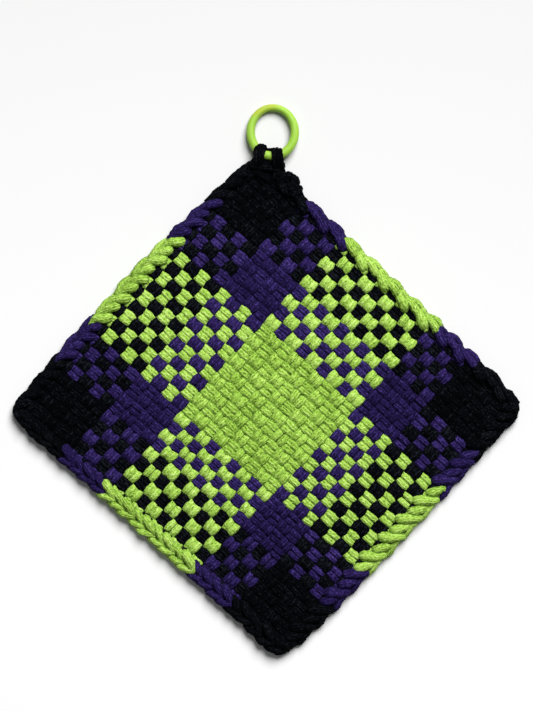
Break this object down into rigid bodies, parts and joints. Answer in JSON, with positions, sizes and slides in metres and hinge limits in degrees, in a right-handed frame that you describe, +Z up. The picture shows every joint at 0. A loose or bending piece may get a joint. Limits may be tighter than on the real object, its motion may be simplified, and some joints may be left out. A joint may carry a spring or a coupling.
{
  "type": "woven pot holder",
  "caption": "Square woven pot holder in a black, purple and green check, lying flat, with a chained edge and a plastic hanging ring hitched to one corner.",
  "frame": {"origin": "under the crossing of the two middle loops, on the surface that the pot holder lies on", "axes": "+Z up from the surface, +Y from the mat towards the corner with the ring, +X to the right of that, so the mat lies as a diamond"},
  "size_m": [0.3008, 0.3276, 0.0107],
  "materials": {
    "green_cotton": "soft brushed cotton jersey, lime green",
    "purple_cotton": "soft brushed cotton jersey, dark purple",
    "black_cotton": "soft brushed cotton jersey, black",
    "ring_plastic": "glossy lime-green moulded plastic"
  },
  "bodies": {
    "root": {"woven_mat": "green_cotton", "chain_upper_right_black_first": "black_cotton", "chain_upper_right_purple_first": "purple_cotton", "chain_upper_right_green": "green_cotton", "chain_upper_right_purple_last": "purple_cotton", "chain_right_corner": "black_cotton", "chain_lower_right_purple_first": "purple_cotton", "chain_lower_right_green": "green_cotton", "chain_lower_right_purple_last": "purple_cotton", "chain_bottom_corner": "black_cotton", "chain_lower_left_purple_first": "purple_cotton", "chain_lower_left_green": "green_cotton", "chain_lower_left_purple_last": "purple_cotton", "chain_left_corner": "black_cotton", "chain_upper_left_purple_first": "purple_cotton", "chain_upper_left_green": "green_cotton", "chain_upper_left_purple_last": "purple_cotton", "chain_upper_left_black_last": "black_cotton", "hanging_loop": "black_cotton", "ring": "ring_plastic"}
  },
  "joints": []
}
